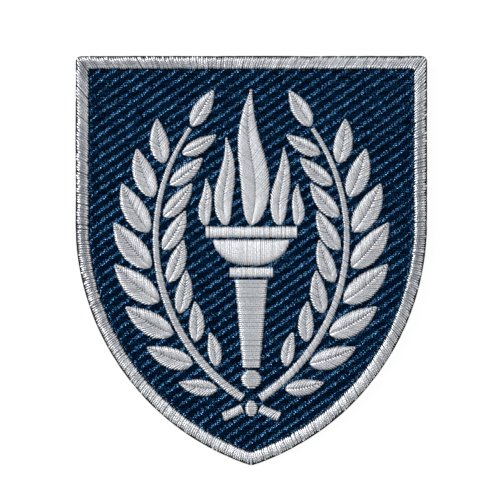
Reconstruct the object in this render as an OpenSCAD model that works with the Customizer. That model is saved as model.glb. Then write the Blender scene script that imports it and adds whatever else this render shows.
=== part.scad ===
// Embroidered shield sleeve patch, lying flat with its stitched face up.
// Millimetres. X is across the shield, +Y points to its straight top edge, +Z is the stitched face.
// The origin is the middle of the back, on the surface that the patch lies on.

/* [Shield] */
// Width across the straight sides
patch_w = 70; // [64:0.5:90]
// Height from the top edge to the tip
patch_h = 81.5; // [76:0.5:100]
// Length of the straight sides, down from the top edge
side_h = 33.4; // [28:0.2:38]
// Rounding of the tip
tip_r = 2; // [1:0.1:4]
// Rounding of the two top corners
corner_r = 1.15; // [0.6:0.05:2]

/* [Layers] */
// Thickness of the twill base cloth
cloth_t = 1; // [1:0.1:2]
// Thickness of the fill stitching that covers the field
fill_t = 0.6; // [0.4:0.1:1]

/* [Border] */
// Cloth left showing outside the border
rim_w = 0.25; // [0.1:0.05:0.6]
// Width of the satin border
border_w = 2.35; // [1.8:0.05:3]
// Height of the border above the cloth
border_rise = 1.25; // [0.8:0.05:2]
// Bare cloth between the border and the fill
border_gap = 0.3; // [0.2:0.05:0.6]

/* [Wreath] */
// Height of a satin pad above the fill where it is widest
pad_rise = 0.75; // [0.4:0.05:1.2]
// Radius of each stem's arc
stem_r = 38; // [36:0.5:40]
// Distance of the stems from the middle line where they are widest apart
stem_side_x = 19; // [18.5:0.1:19.5]
// Height of that place above the middle of the shield
stem_side_y = 4.5; // [4:0.1:5]
// Width of a stem at its foot
stem_w = 1.6; // [1.2:0.1:1.8]
// Angle between a leaf and its stem
leaf_angle = 40; // [38:1:42]
// Bend of a leaf from its base to its tip
leaf_bend = 18; // [12:1:20]

/* [Torch] */
// Height of the torch's foot above the middle of the shield
torch_y = -25.4; // [-25.6:0.1:-25]
// Length of the torch's grip
grip_h = 17.5; // [16:0.1:18]
// Width of the torch's rim
rim_bar_w = 18.2; // [16:0.1:19]

/* [Hidden] */
// Colours of the cloth and of the two threads
black = [0.03, 0.03, 0.04];
navy = [0.06, 0.17, 0.26];
silver = [0.75, 0.77, 0.8];

// Half sizes of the shield, and the arcs of its two flanks
half_w = patch_w / 2;
top_y = patch_h / 2;
flank_y = top_y - side_h;
flank_drop = patch_h - side_h;
flank_r = (pow(flank_drop - tip_r, 2) + pow(half_w, 2) - pow(tip_r, 2)) / (2 * (half_w - tip_r));
flank_x = half_w - flank_r;

// Levels of the layers
fill_z = cloth_t;
pad_z = cloth_t + fill_t;

// The smallest rounding that keeps an inner outline's stations apart
least_r = 0.05;

// Stations of the border: on the tip, each flank, each side, each corner and the top edge
tip_steps = 6;
flank_steps = 16;
side_steps = 4;
corner_steps = 3;
top_steps = 8;

// Section of the border: fraction of its width from outside in, fraction of its height
COL_ACROSS = 0;
COL_RISE = 1;
border_section = [
    [0.00, 0.00],
    [0.00, 0.55],
    [0.16, 0.86],
    [0.50, 1.00],
    [0.84, 0.84],
    [1.00, 0.50],
    [1.00, 0.00],
];

// Section of a pad: fraction of its width, fraction of its height, fraction of the groove's depth
COL_GROOVE = 2;
pad_section = [
    [0.00, 0.00, 0],
    [0.00, 0.40, 0],
    [0.24, 1.00, 0],
    [0.50, 1.00, 1],
    [0.76, 1.00, 0],
    [1.00, 0.40, 0],
    [1.00, 0.00, 0],
];
// A pad as wide as this has its full height, and narrower ones are lower
pad_full_w = 3;
// Depth of the vein down the middle of a leaf or a flame
vein_depth = 0.3;

// Stems: length, taper, the bare ends at the tie, and the short tails below it
stem_len = 63;
stem_taper = 0.5;
stem_start = 2;
tail_len = 4.2;
stem_steps = 18;
tail_steps = 3;
stem_foot_a = -acos((stem_r - stem_side_x) / stem_r);

// Leaves, a row for each pair: distance along the stem, length outside, length inside
COL_AT = 0;
COL_OUTER = 1;
COL_INNER = 2;
leaf_rows = [
    [7.2, 7.6, 6.8],
    [13.9, 9.6, 7.9],
    [20.7, 10.8, 8.5],
    [27.5, 11.4, 8.8],
    [34.3, 11.4, 8.8],
    [41.1, 10.9, 8.6],
    [47.9, 10.0, 8.2],
    [54.7, 8.8, 7.6],
];
// The inner leaves grow a little further along, turn out a little more and are slimmer
inner_shift = 3.2;
inner_turn = 2;
outer_slim = 0.42;
inner_slim = 0.38;
// Clearance between a leaf's base and the stem
leaf_gap = 0.95;
// The leaf at the end of each stem
end_leaf_l = 8.2;
end_leaf_w = 3.4;
end_leaf_turn = -4;
end_leaf_gap = 0.7;
leaf_steps = 9;
// Fullness of a leaf towards its base and its tip
leaf_base_p = 0.6;
leaf_tip_p = 0.9;

// Tie where the stems cross
tie_w = 2.3;
tie_h = 3;
tie_y = -30.9;

// Torch, from the foot up: knob, grip, collar, bowl and rim, with a small gap between them
part_gap = 0.5;
knob_d = 3.6;
knob_w = 3.8;
grip_foot_w = 3.4;
grip_top_w = 6.4;
collar_w = 8.6;
collar_h = 1.9;
bowl_w = 14.8;
bowl_h = 5;
bowl_lip = 0.5;
// The bowl's curve: how square its sides are and how round its bottom is
bowl_square = 2.6;
bowl_round = 0.62;
rim_h = 2.1;
grip_y = torch_y + knob_d + part_gap;
collar_y = grip_y + grip_h + part_gap;
bowl_y = collar_y + collar_h + part_gap;
rim_y = bowl_y + bowl_h + part_gap;
flame_y = rim_y + rim_h + part_gap;
round_steps = 8;
// Least width of a round pad, at its top and bottom, as a share of its greatest width
round_least = 0.3;
bar_steps = 4;
bowl_steps = 12;

// Flames, from left to right: foot, height, greatest width, lean, sway to the side
COL_FOOT = 0;
COL_HEIGHT = 1;
COL_WIDTH = 2;
COL_LEAN = 3;
COL_SWAY = 4;
flame_rows = [
    [-8.95, 9.2, 2.5, -0.1, -0.35],
    [-5.00, 17.4, 3.6, 0.0, -0.65],
    [0.00, 27.0, 5.6, 0.0, 0.90],
    [5.65, 15.4, 3.4, 0.8, -0.45],
    [9.10, 8.2, 2.4, 0.2, 0.30],
];
flame_steps = 14;
flame_base_p = 0.52;
flame_tip_p = 1.03;
// A sway dies away by this share towards the flame's tip
sway_fade = 0.35;
// Width of a pad at its pointed ends, as a share of its greatest width
end_share = 0.07;

pair_count = len(leaf_rows);
flame_count = len(flame_rows);
sides = ["left", "right"];
rows_of_leaves = ["outer", "inner"];

function leaf_name(side, row, i) = str("leaf_", side, "_", row, "_", i + 1);
function end_leaf_name(side) = str("leaf_", side, "_end");
function flame_name(i) = str("flame_", i + 1);

// Outline of the shield, moved inwards by d
function tip_round(d) = max(tip_r - d, least_r);
function tip_mid_y(d) = flank_y - sqrt(pow(flank_r - d - tip_round(d), 2) - pow(flank_x, 2));
// Angle, on the right flank's circle, where the rounding of the tip begins
function flank_end_a(d) = -acos(-flank_x / (flank_r - d - tip_round(d)));
function corner_round(d) = max(corner_r - d, least_r);

function arc_points(c, r, a, b, n) = [for (i = [0 : n]) c + r * [cos(a + (b - a) * i / n), sin(a + (b - a) * i / n)]];
function drop_last(p) = [for (i = [0 : len(p) - 2]) p[i]];
function mirrored(p) = [for (i = [len(p) - 1 : -1 : 0]) [-p[i][0], p[i][1]]];

// Right half of the outline, from the tip up to the middle of the top edge
function half_outline(d) = let (
    a = flank_end_a(d),
    c = corner_round(d),
    cx = half_w - d - c,
    cy = top_y - d - c
) concat(
    drop_last(arc_points([0, tip_mid_y(d)], tip_round(d), -90, a, tip_steps / 2)),
    arc_points([flank_x, flank_y], flank_r - d, a, 0, flank_steps),
    [for (i = [1 : side_steps - 1]) [half_w - d, flank_y + (cy - flank_y) * i / side_steps]],
    arc_points([cx, cy], c, 0, 90, corner_steps),
    [for (i = [1 : top_steps / 2]) [cx * (1 - 2 * i / top_steps), top_y - d]]
);
// The whole outline, anticlockwise, with the tip and the top's middle once each
function outline(d) = let (h = half_outline(d), m = mirrored(h)) concat(
    h,
    [for (i = [1 : len(m) - 2]) m[i]]
);

// A closed ring through loops of points, each loop with the same count
module ring_of(loops) {
    n = len(loops[0]);
    k = len(loops);
    polyhedron(
        points = [for (l = loops) each l],
        faces = [
            for (j = [0 : k - 1], i = [0 : n - 1]) let (
                a = j * n + i,
                b = j * n + (i + 1) % n,
                c = ((j + 1) % k) * n + (i + 1) % n,
                d = ((j + 1) % k) * n + i
            ) each [[a, c, b], [a, d, c]]
        ]
    );
}

// A raised satin pad between two edges, points matched in pairs, with a vein down its middle
module pad(left, right, vein = 0) {
    n = len(left);
    k = len(pad_section);
    rises = [for (i = [0 : n - 1]) pad_rise * sqrt(min(1, norm(left[i] - right[i]) / pad_full_w))];
    points = [
        for (i = [0 : n - 1], s = pad_section) let (
            p = left[i] + (right[i] - left[i]) * s[COL_ACROSS],
            share = rises[i] / pad_rise
        ) [p[0], p[1], pad_z + s[COL_RISE] * rises[i] - s[COL_GROOVE] * vein * share]
    ];
    skin = [
        for (i = [0 : n - 2], j = [0 : k - 1]) let (
            a = i * k + j,
            b = i * k + (j + 1) % k,
            c = (i + 1) * k + (j + 1) % k,
            d = (i + 1) * k + j
        ) each [[a, c, b], [a, d, c]]
    ];
    first = [for (j = [1 : k - 2]) [0, j, j + 1]];
    last = [for (j = [1 : k - 2]) [(n - 1) * k, (n - 1) * k + j + 1, (n - 1) * k + j]];
    polyhedron(points = points, faces = concat(skin, first, last));
}

// A pad along a line of points, its half widths given at each of them
module ribbon(line, halves, vein = 0) {
    n = len(line);
    ways = [for (i = [0 : n - 1]) line[min(i + 1, n - 1)] - line[max(i - 1, 0)]];
    outs = [for (w = ways) [-w[1], w[0]] / norm(w)];
    pad(
        [for (i = [0 : n - 1]) line[i] + outs[i] * halves[i]],
        [for (i = [0 : n - 1]) line[i] - outs[i] * halves[i]],
        vein
    );
}

// Share of the greatest width at u, from 0 at the base to 1 at the tip
function fullness(u, p, q) = let (k = p / (p + q))
    max(end_share, pow(u, p) * pow(1 - u, q) / (pow(k, p) * pow(1 - k, q)));

// Point and direction of a stem at a distance s from the middle line
function stem_angle(s) = stem_foot_a + s / stem_r * 180 / PI;
function stem_point(s) = [stem_side_x - stem_r, stem_side_y] + stem_r * [cos(stem_angle(s)), sin(stem_angle(s))];
function stem_half(s) = stem_w / 2 * (1 - stem_taper * s / stem_len);

// Line of a leaf that starts at p, heads at angle a and bends evenly by b degrees
function leaf_line(p, a, b, l) = [
    for (i = [0 : leaf_steps]) let (t = a + b * i / leaf_steps, r = l / (b * PI / 180))
        p + r * [sin(t) - sin(a), cos(a) - cos(t)]
];

module shield(d) {
    r = corner_round(d);
    w = half_w - d;
    top = top_y - d;
    flank = flank_r - d;
    t = tip_round(d);
    tip_a = flank_end_a(d);
    cut_y = flank_y + flank * sin(tip_a);
    // Upper half, with its two rounded corners
    translate([-w + r, flank_y]) square([2 * (w - r), top - flank_y]);
    translate([-w, flank_y]) square([2 * w, top - r - flank_y]);
    for (s = [-1, 1]) translate([s * (w - r), top - r]) circle(r, $fn = 48);
    // Lower half between the two flank arcs, down to the rounding of the tip
    intersection() {
        translate([-flank_x, flank_y]) circle(flank, $fn = 360);
        translate([flank_x, flank_y]) circle(flank, $fn = 360);
        translate([-w, cut_y]) square([2 * w, flank_y - cut_y]);
    }
    intersection() {
        translate([0, tip_mid_y(d)]) circle(t, $fn = 96);
        translate([-t, cut_y - 2 * t]) square([2 * t, 2 * t]);
    }
}

module base_cloth() {
    color(black) linear_extrude(cloth_t) shield(0);
}

module ground_fill() {
    color(navy) translate([0, 0, fill_z]) linear_extrude(fill_t) shield(rim_w + border_w + border_gap);
}

module satin_border() {
    color(silver) ring_of([
        for (s = border_section) let (l = outline(rim_w + border_w * s[COL_ACROSS]))
            [for (p = l) [p[0], p[1], fill_z + border_rise * s[COL_RISE]]]
    ]);
}

// Pieces are drawn on the right and mirrored for the left
module on_side(side) {
    color(silver) mirror([side == "left" ? 1 : 0, 0, 0]) children();
}

module stem(side) {
    at = [for (i = [0 : stem_steps]) stem_start + (stem_len - stem_start) * i / stem_steps];
    on_side(side) ribbon([for (s = at) stem_point(s)], [for (s = at) stem_half(s)]);
}

module tail(side) {
    at = [for (i = [0 : tail_steps]) -stem_start - tail_len * (1 - i / tail_steps)];
    on_side(side) ribbon([for (s = at) stem_point(s)], [for (s = at) stem_half(2 * s)]);
}

module leaf(side, row, i) {
    out = row == "outer" ? 1 : -1;
    cells = leaf_rows[i];
    at = cells[COL_AT] + (out > 0 ? 0 : inner_shift);
    l = out > 0 ? cells[COL_OUTER] : cells[COL_INNER];
    slim = out > 0 ? outer_slim : inner_slim;
    turn = leaf_angle + (out > 0 ? 0 : inner_turn);
    heading = stem_angle(at) + 90;
    base = stem_point(at) + out * (stem_half(at) + leaf_gap) * [cos(stem_angle(at)), sin(stem_angle(at))];
    halves = [for (k = [0 : leaf_steps]) l * slim / 2 * fullness(k / leaf_steps, leaf_base_p, leaf_tip_p)];
    on_side(side) ribbon(leaf_line(base, heading - out * turn, out * leaf_bend, l), halves, vein_depth);
}

module end_leaf(side) {
    heading = stem_angle(stem_len) + 90 + end_leaf_turn;
    base = stem_point(stem_len + end_leaf_gap);
    line = [for (k = [0 : leaf_steps]) base + end_leaf_l * k / leaf_steps * [cos(heading), sin(heading)]];
    halves = [for (k = [0 : leaf_steps]) end_leaf_w / 2 * fullness(k / leaf_steps, leaf_base_p, leaf_tip_p)];
    on_side(side) ribbon(line, halves, vein_depth);
}

// An upright round pad, w wide and h high, from y up
module round_pad(y, w, h) {
    u = [for (i = [0 : round_steps]) i / round_steps];
    color(silver) ribbon(
        [for (k = u) [0, y + h * k]],
        [for (k = u) w / 2 * max(round_least, sqrt(max(0, 1 - pow(2 * k - 1, 2))))]
    );
}

// A level bar, w wide and h high, from y up
module bar(y, w, h) {
    x = [for (i = [0 : bar_steps]) w * (i / bar_steps - 0.5)];
    color(silver) pad([for (k = x) [k, y + h]], [for (k = x) [k, y]]);
}

module stem_tie() {
    round_pad(tie_y, tie_w, tie_h);
}

module torch_knob() {
    round_pad(torch_y, knob_w, knob_d);
}

module torch_grip() {
    color(silver) ribbon(
        [for (k = [0 : bar_steps]) [0, grip_y + grip_h * k / bar_steps]],
        [for (k = [0 : bar_steps]) (grip_foot_w + (grip_top_w - grip_foot_w) * k / bar_steps) / 2]
    );
}

module torch_collar() {
    bar(collar_y, collar_w, collar_h);
}

module torch_bowl() {
    x = [for (i = [0 : bowl_steps]) 2 * i / bowl_steps - 1];
    deep = bowl_h - bowl_lip;
    color(silver) pad(
        [for (k = x) [k * bowl_w / 2, bowl_y + bowl_h]],
        [for (k = x) [k * bowl_w / 2, bowl_y + deep * (1 - pow(max(0, 1 - pow(abs(k), bowl_square)), bowl_round))]]
    );
}

module torch_rim() {
    bar(rim_y, rim_bar_w, rim_h);
}

module flame(i) {
    f = flame_rows[i];
    u = [for (k = [0 : flame_steps]) k / flame_steps];
    color(silver) ribbon(
        [
            for (k = u) [
                f[COL_FOOT] + f[COL_LEAN] * k + f[COL_SWAY] * sin(360 * k) * (1 - sway_fade * k),
                flame_y + f[COL_HEIGHT] * k
            ]
        ],
        [for (k = u) f[COL_WIDTH] / 2 * fullness(k, flame_base_p, flame_tip_p)],
        vein_depth
    );
}

base_cloth();
ground_fill();
satin_border();
for (s = sides) {
    stem(s);
    tail(s);
    end_leaf(s);
    for (r = rows_of_leaves, i = [0 : pair_count - 1])
        leaf(s, r, i);
}
stem_tie();
torch_knob();
torch_grip();
torch_collar();
torch_bowl();
torch_rim();
for (i = [0 : flame_count - 1])
    flame(i);
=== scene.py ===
import bpy
import numpy as np
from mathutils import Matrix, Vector


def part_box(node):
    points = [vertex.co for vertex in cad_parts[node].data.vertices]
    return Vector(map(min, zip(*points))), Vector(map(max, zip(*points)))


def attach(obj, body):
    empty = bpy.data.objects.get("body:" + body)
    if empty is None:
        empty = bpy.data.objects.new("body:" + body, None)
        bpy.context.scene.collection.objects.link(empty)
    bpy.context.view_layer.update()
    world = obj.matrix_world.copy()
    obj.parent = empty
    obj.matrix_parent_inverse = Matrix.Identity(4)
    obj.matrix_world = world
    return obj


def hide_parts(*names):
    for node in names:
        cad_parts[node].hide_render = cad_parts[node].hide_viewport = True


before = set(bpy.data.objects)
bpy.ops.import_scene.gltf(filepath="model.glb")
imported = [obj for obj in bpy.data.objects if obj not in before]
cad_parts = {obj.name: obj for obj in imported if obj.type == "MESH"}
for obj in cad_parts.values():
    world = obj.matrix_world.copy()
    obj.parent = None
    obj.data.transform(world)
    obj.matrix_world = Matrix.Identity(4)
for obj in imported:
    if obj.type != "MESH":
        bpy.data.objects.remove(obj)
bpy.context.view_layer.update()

mm = 0.001
tiny = 1e-6  # keeps a divisor from zero
rng = np.random.default_rng(11)  # one seed, drawn from in the order of the stages


def boxInMm(node):
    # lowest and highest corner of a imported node, in millimetres
    low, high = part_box(node)
    return np.array(low) / mm, np.array(high) / mm


clothLow, clothHigh = boxInMm("base_cloth")
fillHigh, borderHigh, flameHigh = (boxInMm(node)[1] for node in ("ground_fill", "satin_border", "flame_3"))

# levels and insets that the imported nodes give
clothTop = clothHigh[2]
fillTop = fillHigh[2]
borderTop = borderHigh[2]
padRise = flameHigh[2] - fillTop
borderInset = clothHigh[0] - borderHigh[0]
fieldInset = clothHigh[0] - fillHigh[0]

shield = {
    "width": clothHigh[0] - clothLow[0],
    "height": clothHigh[1] - clothLow[1],
    "sideHeight": 33.4,  # from the top edge down to where the flanks begin
    "tipRound": 2.0,
    "cornerRound": 1.15,
    "leastRound": 0.05,  # what stays of a rounding on a loop far inside the edge
    "borderGap": 0.3,  # from the border's inner edge to the field
}
flankTop = shield["height"] / 2 - shield["sideHeight"]
innerInset = fieldInset - shield["borderGap"]


def arcPoints(centre, radius, fromAngle, toAngle, count):
    # points at even angles on a circle
    a = np.linspace(fromAngle, toAngle, count)
    return np.array(centre) + radius * np.stack([np.cos(a), np.sin(a)], axis=1)


def linePoints(start, end, count):
    # points at even steps on a straight line
    t = np.linspace(0, 1, count)[:, None]
    return np.array(start) * (1 - t) + np.array(end) * t


def outline(inset, perPart=(12, 240, 160, 12, 160)):
    # the shield moved inwards: tip rounding, flank arc, side, corner rounding and half the top,
    # each with its own count of points, then the same mirrored, so that loops match point by point
    s = shield
    halfWidth = s["width"] / 2
    topY = s["height"] / 2
    drop = s["height"] - s["sideHeight"] - s["tipRound"]
    flankR = (drop**2 + halfWidth**2 - s["tipRound"] ** 2) / (2 * (halfWidth - s["tipRound"]))
    flankX = halfWidth - flankR
    tip = max(s["tipRound"] - inset, s["leastRound"])
    corner = max(s["cornerRound"] - inset, s["leastRound"])
    tipY = flankTop - np.sqrt((flankR - inset - tip) ** 2 - flankX**2)
    endAngle = -np.arccos(-flankX / (flankR - inset - tip))
    cornerX = halfWidth - inset - corner
    cornerY = topY - inset - corner
    right = np.concatenate([
        arcPoints((0, tipY), tip, -np.pi / 2, endAngle, perPart[0])[:-1],
        arcPoints((flankX, flankTop), flankR - inset, endAngle, 0, perPart[1])[:-1],
        linePoints((halfWidth - inset, flankTop), (halfWidth - inset, cornerY), perPart[2])[:-1],
        arcPoints((cornerX, cornerY), corner, 0, np.pi / 2, perPart[3])[:-1],
        linePoints((cornerX, topY - inset), (0, topY - inset), perPart[4]),
    ])
    left = right[-2:0:-1] * (-1, 1)
    return np.concatenate([right, left])


def inScene(name, data):
    # an object for a mesh, a light or a camera, at the origin of the scene
    item = bpy.data.objects.new(name, data)
    bpy.context.scene.collection.objects.link(item)
    return item


def addMesh(name, points, quads, material, uvs=None, tone=None, smooth=True):
    # puts arrays into one mesh: points in millimetres, faces of four corners each
    mesh = bpy.data.meshes.new(name)
    mesh.vertices.add(len(points))
    mesh.vertices.foreach_set("co", (points * mm).astype(np.float32).ravel())
    mesh.loops.add(quads.size)
    mesh.loops.foreach_set("vertex_index", quads.astype(np.int32).ravel())
    mesh.polygons.add(len(quads))
    mesh.polygons.foreach_set("loop_start", np.arange(0, quads.size, 4, dtype=np.int32))
    mesh.update(calc_edges=True)
    mesh.polygons.foreach_set("use_smooth", np.full(len(quads), smooth))
    flat = (points[quads.ravel()][:, :2] - clothLow[:2]) / (clothHigh[:2] - clothLow[:2]).max()
    layer = mesh.uv_layers.new(name="OFBake")
    layer.data.foreach_set("uv", flat.astype(np.float32).ravel())
    if uvs is not None:
        layer = mesh.uv_layers.new(name="thread")
        layer.data.foreach_set("uv", uvs[quads.ravel()].astype(np.float32).ravel())
    if tone is not None:
        shade = mesh.attributes.new("tone", "FLOAT", "POINT")
        shade.data.foreach_set("value", tone.astype(np.float32))
    mesh.validate()
    piece = inScene(name, mesh)
    mesh.materials.append(material)
    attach(piece, "root")
    print(name, 2 * len(quads), "triangles")
    return piece


# six corners round a thread, as angles from straight up, open at the bottom
ringAngles = np.radians([-118, -70, -23, 23, 70, 118])
glintStart = 3.0  # a thread's glints start up to this far along their pattern, in millimetres


def threads(paths, look, tone, taper=1.0):
    # a profile carried along many paths at once: at each point of a path the ring of corners is
    # side * sin(angle) * width / 2 + out * cos(angle) * thick / 2, where side is level and square to
    # the thread's run and out is square to side and the path, and both are rolled a little about the
    # path by roll * sin(2 pi * (distance along it / rollLength + phase)); taper is a share of the
    # profile's size for each point of a path
    count, stations, _ = paths.shape
    ring = len(ringAngles)
    run = paths[:, -1, :2] - paths[:, 0, :2]
    run = run / np.linalg.norm(run, axis=1, keepdims=True)
    side = np.stack([-run[:, 1], run[:, 0], np.zeros(count)], axis=1)[:, None, :]
    way = np.gradient(paths, axis=1)
    way /= np.linalg.norm(way, axis=2, keepdims=True)
    side = np.broadcast_to(side, way.shape)
    out = np.cross(way, side)
    step = np.linalg.norm(np.diff(paths, axis=1), axis=2)
    length = np.concatenate([np.zeros((count, 1)), np.cumsum(step, axis=1)], axis=1)
    phase = rng.uniform(0, 1, (count, 1))
    roll = look["roll"] * np.sin(2 * np.pi * (length / look["rollLength"] + phase))[..., None]
    side, out = side * np.cos(roll) + out * np.sin(roll), out * np.cos(roll) - side * np.sin(roll)
    angles = ringAngles[None, None, :, None]
    size = np.broadcast_to(taper, (count, stations))[:, :, None, None]
    corners = (
        paths[:, :, None, :]
        + side[:, :, None, :] * np.sin(angles) * size * look["width"] / 2
        + out[:, :, None, :] * np.cos(angles) * size * look["thick"] / 2
    )
    across = np.arange(ring) / (ring - 1) * look["width"]
    lengthwise = (length + glintStart * phase)[:, :, None]
    uvs = np.stack(np.broadcast_arrays(lengthwise, across[None, None, :]), axis=3)
    tone = np.broadcast_to(np.clip(tone, 0, 1)[:, :, None], (count, stations, ring))
    at = np.arange(count * stations * ring).reshape(count, stations, ring)
    near, far = at[:, :-1], at[:, 1:]
    skin = np.stack([near, far, np.roll(far, -1, axis=2), np.roll(near, -1, axis=2)], axis=3)
    first, last = at[:, 0], at[:, -1]
    caps = [first[:, [0, 1, 2, 3]], first[:, [0, 3, 4, 5]], last[:, [3, 2, 1, 0]], last[:, [5, 4, 3, 0]]]
    quads = np.concatenate([skin.reshape(-1, 4), *caps])
    return corners.reshape(-1, 3), quads, uvs.reshape(-1, 2), tone.reshape(-1)


def stitchTones(count, spread):
    # a tone for each stitch, one number the whole way along it
    return 0.5 + rng.normal(0, spread, (count, 1))


def drifting(count, spread, reach):
    # random numbers that change slowly: each is the sum of its neighbours up to reach away, over the
    # square root of their count, which keeps the spread
    raw = rng.normal(0, spread, count)
    return sum(np.roll(raw, i) for i in range(-reach, reach + 1)) / (2 * reach + 1) ** 0.5


def joined(parts):
    # several lots of threads as one set of arrays
    start = np.cumsum([0] + [len(p[0]) for p in parts])
    quads = np.concatenate([p[1] + n for p, n in zip(parts, start)])
    points, uvs, tone = (np.concatenate([p[i] for p in parts]) for i in (0, 2, 3))
    return points, quads, uvs, tone


# for each thread: how metallic and how rough it is, the depth of its twist in millimetres, how much of its
# tone is a slow change over the patch, how much comes and goes along it as painted glints, the spread of its
# hue, and its colours by tone
threadColumns = ("metallic", "roughness", "twistDepth", "drift", "glint", "hueSpread", "tones")
threadRows = {
    "silverThread": (0.80, 0.36, 0.012, 0.12, 0.35, 0, [
        (0.0, (0.30, 0.31, 0.34)), (0.5, (0.60, 0.615, 0.65)), (1.0, (0.92, 0.93, 0.94)),
    ]),
    "paleThread": (0.5, 0.38, 0.012, 0.2, 0.8, 0, [
        (0.0, (0.33, 0.34, 0.365)), (0.5, (0.63, 0.64, 0.67)), (1.0, (0.93, 0.935, 0.945)),
    ]),
    # the border's underlay is darker than its thread: painted shade in the gaps between the stitches
    "borderUnderlayShade": (0.3, 0.6, 0, 0.3, 0, 0, [(0.0, (0.07, 0.075, 0.085)), (1.0, (0.15, 0.155, 0.17))]),
    # the pads' underlay is darker than the pale thread too: painted shade in the gaps between the stitches
    "padUnderlayShade": (0.2, 0.5, 0, 0.3, 0, 0, [(0.0, (0.19, 0.20, 0.22)), (1.0, (0.36, 0.37, 0.40))]),
    "navyThread": (1.0, 0.30, 0.03, 0.06, 8.4, 0.06, [
        (0.0, (0.0004, 0.0085, 0.021)), (0.4, (0.003, 0.048, 0.145)),
        (0.7, (0.022, 0.145, 0.37)), (1.0, (0.12, 0.34, 0.64)),
    ]),
    "navyUnderlay": (1.0, 0.5, 0, 0.3, 0, 0, [(0.0, (0.0006, 0.008, 0.02)), (1.0, (0.003, 0.03, 0.08))]),
}
threadPattern = {
    "driftScale": 260.0,
    "driftDetail": 3.0,
    "glintSize": (0.24, 0.17),  # along and across the thread, in millimetres
    "glintDetail": 1.0,
    "hueScale": 900.0,
    "twistScale": 1.0,
    "twistTurn": 0.7,
    "twistWander": 0.6,
}


def nodeMaterial(name):
    # a new material, with its tree of nodes and the shader in it
    material = bpy.data.materials.new(name)
    material.use_nodes = True
    return material, material.node_tree, material.node_tree.nodes["Principled BSDF"]


def setInputs(tree, node, inputs):
    # each input named is set to a value or linked to another node's output
    for name, value in inputs.items():
        if isinstance(value, bpy.types.NodeSocket):
            tree.links.new(value, node.inputs[name])
        else:
            node.inputs[name].default_value = value


def addNode(tree, kind, inputs=None, **settings):
    # a new node with its inputs and its other settings
    node = tree.nodes.new("ShaderNode" + kind)
    for name, value in settings.items():
        setattr(node, name, value)
    setInputs(tree, node, inputs or {})
    return node


def calculated(tree, operation, *values):
    # the result of a Math node on numbers and other nodes' outputs
    return addNode(tree, "Math", dict(enumerate(values)), operation=operation).outputs[0]


def addBump(tree, shader, height, depth):
    # the height as bump on the shader, a depth in millimetres for a height of 1
    bump = addNode(tree, "Bump", {"Height": height, "Distance": depth * mm})
    setInputs(tree, shader, {"Normal": bump.outputs["Normal"]})


def glintFactor(tree, plan, glint):
    # painted glints along the thread: 1 + 2 * glint * (noise - 0.5), with the noise on the thread's own
    # length and width
    lengthwise, crosswise = threadPattern["glintSize"]
    stretch = addNode(tree, "Mapping", {"Vector": plan, "Scale": (1 / lengthwise, 1 / crosswise, 1)})
    inputs = {"Vector": stretch.outputs["Vector"], "Scale": 1.0, "Detail": threadPattern["glintDetail"]}
    noise = addNode(tree, "TexNoise", inputs, noise_dimensions="2D")
    return calculated(tree, "MULTIPLY_ADD", noise.outputs["Fac"], 2 * glint, 1 - glint)


def threadMaterial(name, row):
    # rayon thread: tone = stitch's own tone * glint factor + 2 * drift * (noise - 0.5), read off a row
    # of colours, whose hue wanders by hueSpread * (noise - 0.5), with the twist of its plies as bump on
    # the thread's own length and width
    t = threadPattern
    look = dict(zip(threadColumns, row))
    material, tree, shader = nodeMaterial(name)
    plan = addNode(tree, "UVMap", uv_map="thread").outputs["UV"]
    place = addNode(tree, "TexCoord").outputs["Object"]
    level = addNode(tree, "Attribute", attribute_name="tone").outputs["Fac"]
    if look["glint"]:
        level = calculated(tree, "MULTIPLY", level, glintFactor(tree, plan, look["glint"]))
    noise = addNode(tree, "TexNoise", {"Vector": place, "Scale": t["driftScale"], "Detail": t["driftDetail"]})
    drift = calculated(tree, "MULTIPLY_ADD", noise.outputs["Fac"], 2 * look["drift"], -look["drift"])
    ramp = addNode(tree, "ValToRGB", {"Fac": calculated(tree, "ADD", level, drift)})
    stops = ramp.color_ramp.elements
    while len(stops) < len(look["tones"]):
        stops.new(0.5)
    for stop, (position, colour) in zip(stops, look["tones"]):
        stop.position = position
        stop.color = (*colour, 1)
    colour = ramp.outputs["Color"]
    if look["hueSpread"]:
        spread = look["hueSpread"]
        noise = addNode(tree, "TexNoise", {"Vector": place, "Scale": t["hueScale"]})
        hue = calculated(tree, "MULTIPLY_ADD", noise.outputs["Fac"], spread, 0.5 - spread / 2)
        colour = addNode(tree, "HueSaturation", {"Hue": hue, "Color": colour}).outputs["Color"]
    if look["twistDepth"]:
        turn = addNode(tree, "Mapping", {"Vector": plan, "Rotation": (0, 0, t["twistTurn"])})
        inputs = {"Vector": turn.outputs["Vector"], "Scale": t["twistScale"], "Distortion": t["twistWander"]}
        addBump(tree, shader, addNode(tree, "TexWave", inputs).outputs["Fac"], look["twistDepth"])
    inputs = {"Base Color": colour, "Metallic": look["metallic"], "Roughness": look["roughness"]}
    setInputs(tree, shader, inputs)
    return material


twillLook = {
    "colour": (0.012, 0.014, 0.011),
    "paintedShades": (0.6, 2.2),  # shares of the colour in the grooves and on the ribs: painted shade and painted highlight
    "turn": 0.9,  # of the ribs, in radians
    "scale": 650.0,
    "ribScale": 1.0,
    "ribWander": 0.6,
    "ribDepth": 0.06,  # millimetres
    "weftScale": 0.7,
    "weftShare": 0.4,
    "roughness": 0.85,
    "gloss": 0.2,
}


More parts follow.
